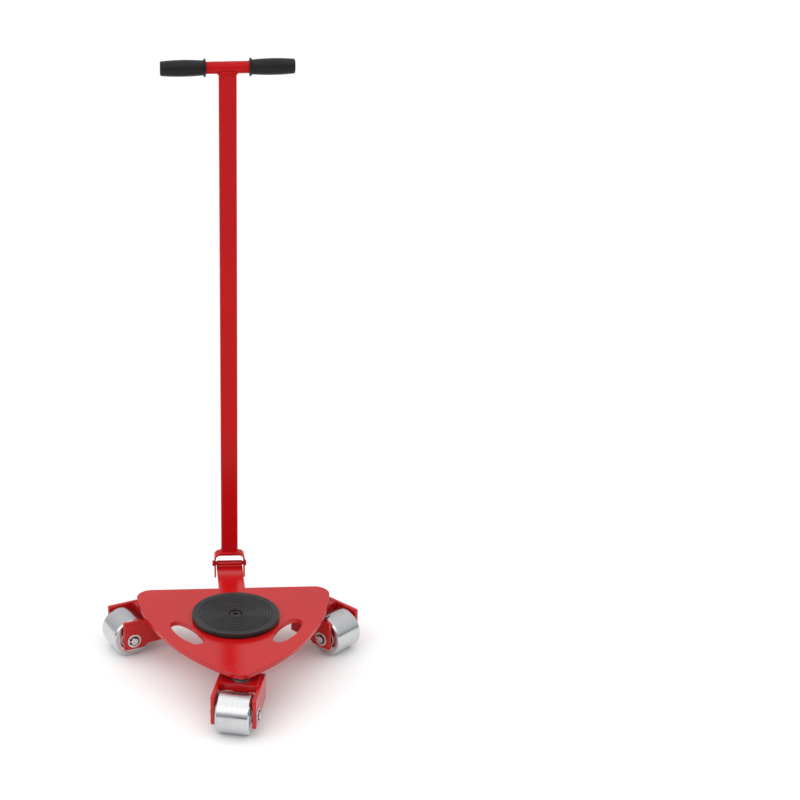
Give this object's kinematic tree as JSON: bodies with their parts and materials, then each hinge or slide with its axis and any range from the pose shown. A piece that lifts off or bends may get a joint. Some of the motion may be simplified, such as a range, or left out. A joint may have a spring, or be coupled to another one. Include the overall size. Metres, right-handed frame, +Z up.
{
  "type": "machinery skate",
  "caption": "Triangular steel machinery skate on swivelling roller casters, with a ribbed rubber turntable pad and a fold-down T pull handle.",
  "frame": {"origin": "on the floor, under the turntable axis", "axes": "+Z up, +Y from the turntable towards the pull handle, +X to the right seen from the front caster"},
  "size_m": [0.5292, 0.5655, 1.1932],
  "materials": {
    "red_paint": "gloss",
    "roller_steel": "turned, satin",
    "bright_steel": "zinc plated",
    "black_steel": "black oxide",
    "rubber": "matt",
    "brass": "satin"
  },
  "bodies": {
    "deck": {"deck_plate": "red_paint", "kingpin_left": "red_paint", "kingpin_right": "red_paint", "kingpin_front": "red_paint", "upper_races": "bright_steel", "swivel_nuts": "black_steel", "swivel_collars": "bright_steel", "turntable_bolt": "black_steel", "slip_ring": "brass", "tongue_strap": "red_paint", "tongue_weld": "red_paint", "hinge_tube": "red_paint"},
    "turntable": {"turntable_disc": "black_steel", "turntable_pad": "rubber"},
    "caster_left": {"fork_left": "red_paint", "lower_race_left": "bright_steel", "ball_cage_left": "bright_steel", "axle_left": "roller_steel", "axle_washers_left": "bright_steel", "circlips_left": "black_steel", "spacers_left": "bright_steel"},
    "wheel_left": {"roller_left": "roller_steel", "roller_bearings_left": "bright_steel"},
    "caster_right": {"fork_right": "red_paint", "lower_race_right": "bright_steel", "ball_cage_right": "bright_steel", "axle_right": "roller_steel", "axle_washers_right": "bright_steel", "circlips_right": "black_steel", "spacers_right": "bright_steel"},
    "wheel_right": {"roller_right": "roller_steel", "roller_bearings_right": "bright_steel"},
    "caster_front": {"fork_front": "red_paint", "lower_race_front": "bright_steel", "ball_cage_front": "bright_steel", "axle_front": "roller_steel", "axle_washers_front": "bright_steel", "circlips_front": "black_steel", "spacers_front": "bright_steel"},
    "wheel_front": {"roller_front": "roller_steel", "roller_bearings_front": "bright_steel"},
    "handle": {"yoke": "red_paint", "hinge_bolt": "red_paint", "hinge_nut": "red_paint", "pole": "red_paint", "t_bar": "red_paint", "grip_left": "rubber", "grip_right": "rubber"}
  },
  "joints": [
    {"name": "turntable_spin", "type": "hinge", "parent": "deck", "child": "turntable", "pos_m": [0, 0, 0.11], "axis": [0, 0, 1], "continuous": true},
    {"name": "swivel_left", "type": "hinge", "parent": "deck", "child": "caster_left", "pos_m": [-0.16801, 0.097, 0.075], "axis": [0, 0, 1], "continuous": true},
    {"name": "roll_left", "type": "hinge", "parent": "caster_left", "child": "wheel_left", "pos_m": [-0.22324, 0.07356, 0.04], "axis": [0.3907, -0.9205, 0], "continuous": true},
    {"name": "swivel_right", "type": "hinge", "parent": "deck", "child": "caster_right", "pos_m": [0.16801, 0.097, 0.075], "axis": [0, 0, 1], "continuous": true},
    {"name": "roll_right", "type": "hinge", "parent": "caster_right", "child": "wheel_right", "pos_m": [0.20816, 0.05241, 0.04], "axis": [0.7431, 0.6691, 0], "continuous": true},
    {"name": "swivel_front", "type": "hinge", "parent": "deck", "child": "caster_front", "pos_m": [0, -0.194, 0.075], "axis": [0, 0, 1], "continuous": true},
    {"name": "roll_front", "type": "hinge", "parent": "caster_front", "child": "wheel_front", "pos_m": [-0.01452, -0.25222, 0.04], "axis": [0.9703, -0.2419, 0], "continuous": true},
    {"name": "handle_tilt", "type": "hinge", "parent": "deck", "child": "handle", "pos_m": [0, 0.249, 0.102], "axis": [-1, 0, 0], "range_deg": [-72, 94]}
  ]
}
